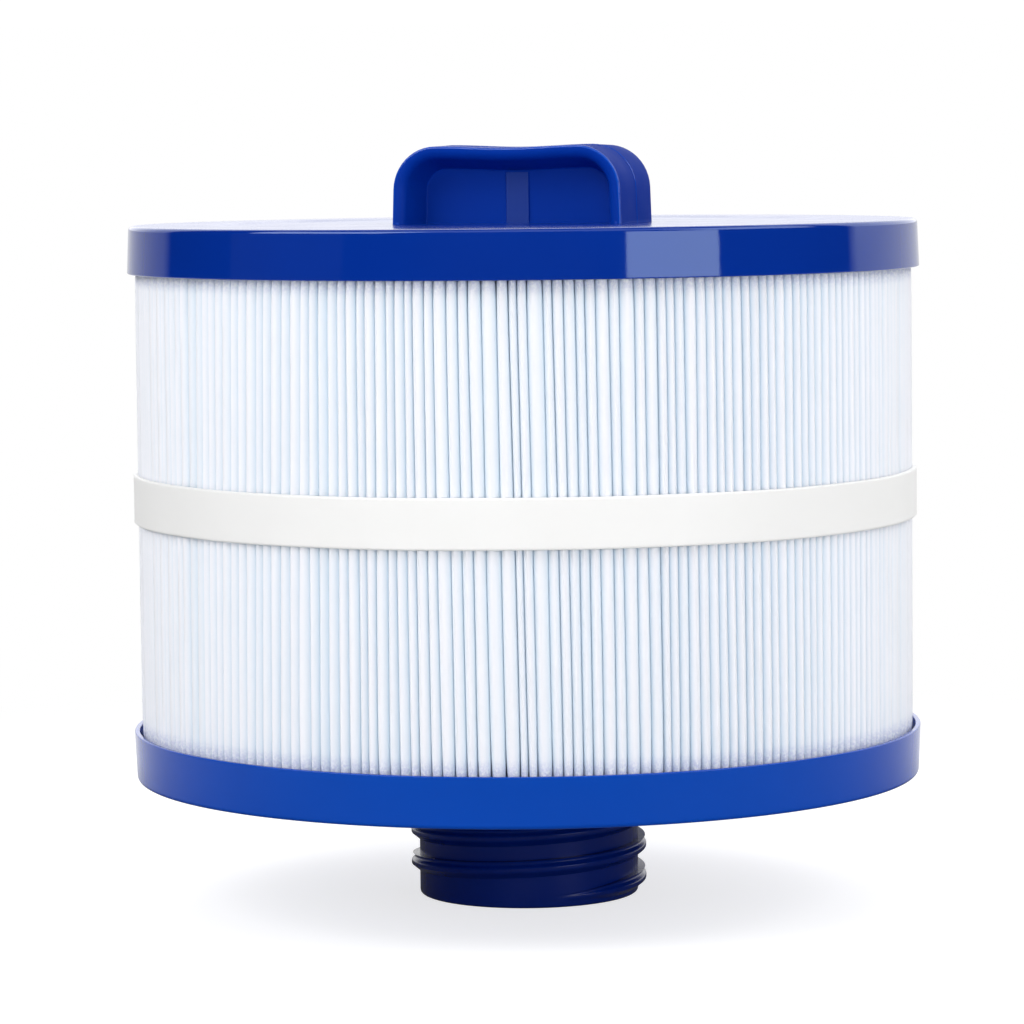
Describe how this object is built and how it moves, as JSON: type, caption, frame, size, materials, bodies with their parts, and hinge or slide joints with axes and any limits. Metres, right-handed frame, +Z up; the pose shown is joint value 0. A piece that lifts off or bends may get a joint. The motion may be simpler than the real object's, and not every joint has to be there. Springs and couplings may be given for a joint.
{
  "type": "filter cartridge",
  "caption": "Round pleated water filter cartridge with a closed top cap and grip, a centre band, and a hollow coarse-threaded outlet below.",
  "frame": {"origin": "on the cartridge's axis, in the plane of the outlet's lower end", "axes": "+Z up along the cartridge's axis, from the outlet to the grip; X along the grip's width; Y through the grip, front at -Y"},
  "size_m": [0.216, 0.216, 0.2058],
  "materials": {
    "top_cap": "glossy injection-moulded blue",
    "handle": "glossy injection-moulded blue",
    "potting": "cast blue polyurethane, satin",
    "media": "white spun-bonded polyester",
    "glue": "hot-melt glue, translucent ivory",
    "core": "satin moulded polypropylene",
    "band": "smooth white polyester strap",
    "bottom_cap": "glossy injection-moulded blue",
    "outlet": "injection-moulded dark blue"
  },
  "bodies": {
    "root": {"top_cap": "top_cap", "handle": "handle", "top_potting": "potting", "pleated_sheet": "media", "seam_glue": "glue", "core_tube": "core", "pleat_band": "band", "bottom_potting": "potting", "bottom_cap": "bottom_cap", "threaded_outlet": "outlet"}
  },
  "joints": []
}
